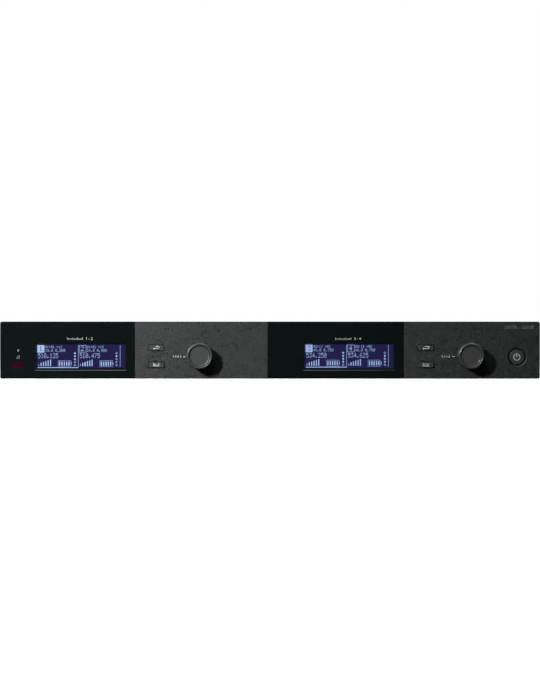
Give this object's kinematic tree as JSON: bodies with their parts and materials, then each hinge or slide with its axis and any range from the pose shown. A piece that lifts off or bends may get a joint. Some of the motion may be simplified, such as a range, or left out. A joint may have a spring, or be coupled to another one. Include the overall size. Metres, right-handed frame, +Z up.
{
  "type": "wireless receiver",
  "caption": "One-unit rack wireless microphone receiver with lit displays, push-and-turn dials, keys, a power button and rear audio, antenna, network and mains sockets.",
  "frame": {"origin": "centre of the housing's flat underside, without the dials and rear sockets", "axes": "+X to the right as the front is seen, +Y to the back, +Z up"},
  "size_m": [0.393, 0.2995, 0.0416],
  "materials": {
    "front_moulding": "fine spark-eroded texture",
    "window_gloss": "polished",
    "display_glass": "polished, lit from behind",
    "inner_plastic": "moulded",
    "infrared_filter": "polished",
    "key_plastic": "satin moulded",
    "dial_plastic": "satin moulded",
    "shaft_steel": "turned",
    "board_laminate": "solder mask",
    "ribbon_vinyl": "flexible, ribbed",
    "steel_housing": "fine black powder coat",
    "black_screws": "black zinc",
    "plated_screws": "zinc plated",
    "nickel": "satin nickel plate",
    "socket_plastic": "moulded",
    "contact_gold": "gold plated",
    "insulator": "turned",
    "tinned_steel": "tin plate",
    "transformer_core": "varnished",
    "capacitor_sleeve": "shrunk sleeve",
    "bare_aluminium": "extruded",
    "wire_jacket": "extruded"
  },
  "bodies": {
    "housing": {"front_panel": "front_moulding", "window_left": "window_gloss", "window_right": "window_gloss", "display_glass_left": "display_glass", "display_glass_right": "display_glass", "display_frames": "inner_plastic", "ir_window": "infrared_filter", "ir_diodes": "inner_plastic", "encoder_body_left": "inner_plastic", "encoder_body_right": "inner_plastic", "button_switches": "inner_plastic", "front_board": "board_laminate", "ribbon_cables": "ribbon_vinyl", "front_screws": "plated_screws", "chassis_tray": "steel_housing", "top_cover": "steel_housing", "rear_panel": "steel_housing", "cover_screws": "black_screws", "rear_screws": "black_screws", "xlr_shell_1": "nickel", "xlr_shell_2": "nickel", "xlr_shell_3": "nickel", "xlr_shell_4": "nickel", "xlr_inserts": "socket_plastic", "xlr_pins": "contact_gold", "jack_socket_1": "socket_plastic", "jack_socket_2": "socket_plastic", "jack_socket_3": "socket_plastic", "jack_socket_4": "socket_plastic", "jack_nuts": "nickel", "antenna_socket_a": "nickel", "antenna_socket_b": "nickel", "cascade_socket_a": "nickel", "cascade_socket_b": "nickel", "antenna_nuts": "nickel", "antenna_insulators": "insulator", "antenna_contacts": "contact_gold", "power_inlet": "socket_plastic", "power_inlet_pins": "nickel", "network_socket": "tinned_steel", "main_board": "board_laminate", "tuner_shields": "tinned_steel", "supply_board": "board_laminate", "supply_transformer": "transformer_core", "supply_capacitors": "capacitor_sleeve", "supply_heatsink": "bare_aluminium", "board_standoffs": "plated_screws", "board_screws": "plated_screws", "inner_wires": "wire_jacket"},
    "exit_key_left": {"exit_button_left": "key_plastic"},
    "sync_key_left": {"sync_button_left": "key_plastic"},
    "exit_key_right": {"exit_button_right": "key_plastic"},
    "sync_key_right": {"sync_button_right": "key_plastic"},
    "power_key": {"power_button": "key_plastic"},
    "dial_carrier_left": {"encoder_plunger_left": "inner_plastic"},
    "dial_left": {"encoder_shaft_left": "shaft_steel", "knob_left": "dial_plastic"},
    "dial_carrier_right": {"encoder_plunger_right": "inner_plastic"},
    "dial_right": {"encoder_shaft_right": "shaft_steel", "knob_right": "dial_plastic"}
  },
  "joints": [
    {"name": "exit_key_left_press", "type": "slide", "parent": "housing", "child": "exit_key_left", "axis": [0, 1, 0], "range_m": [0, 0.0005], "stiffness_N_per_m": 800},
    {"name": "sync_key_left_press", "type": "slide", "parent": "housing", "child": "sync_key_left", "axis": [0, 1, 0], "range_m": [0, 0.0005], "stiffness_N_per_m": 800},
    {"name": "exit_key_right_press", "type": "slide", "parent": "housing", "child": "exit_key_right", "axis": [0, 1, 0], "range_m": [0, 0.0005], "stiffness_N_per_m": 800},
    {"name": "sync_key_right_press", "type": "slide", "parent": "housing", "child": "sync_key_right", "axis": [0, 1, 0], "range_m": [0, 0.0005], "stiffness_N_per_m": 800},
    {"name": "power_key_press", "type": "slide", "parent": "housing", "child": "power_key", "axis": [0, 1, 0], "range_m": [0, 0.0005], "stiffness_N_per_m": 800},
    {"name": "dial_left_press", "type": "slide", "parent": "housing", "child": "dial_carrier_left", "axis": [0, 1, 0], "range_m": [0, 0.0005], "stiffness_N_per_m": 1500},
    {"name": "dial_left_turn", "type": "hinge", "parent": "dial_carrier_left", "child": "dial_left", "pos_m": [-0.0511, -0.135, 0.0165], "axis": [0, 1, 0], "continuous": true},
    {"name": "dial_right_press", "type": "slide", "parent": "housing", "child": "dial_carrier_right", "axis": [0, 1, 0], "range_m": [0, 0.0005], "stiffness_N_per_m": 1500},
    {"name": "dial_right_turn", "type": "hinge", "parent": "dial_carrier_right", "child": "dial_right", "pos_m": [0.1461, -0.135, 0.0165], "axis": [0, 1, 0], "continuous": true}
  ]
}
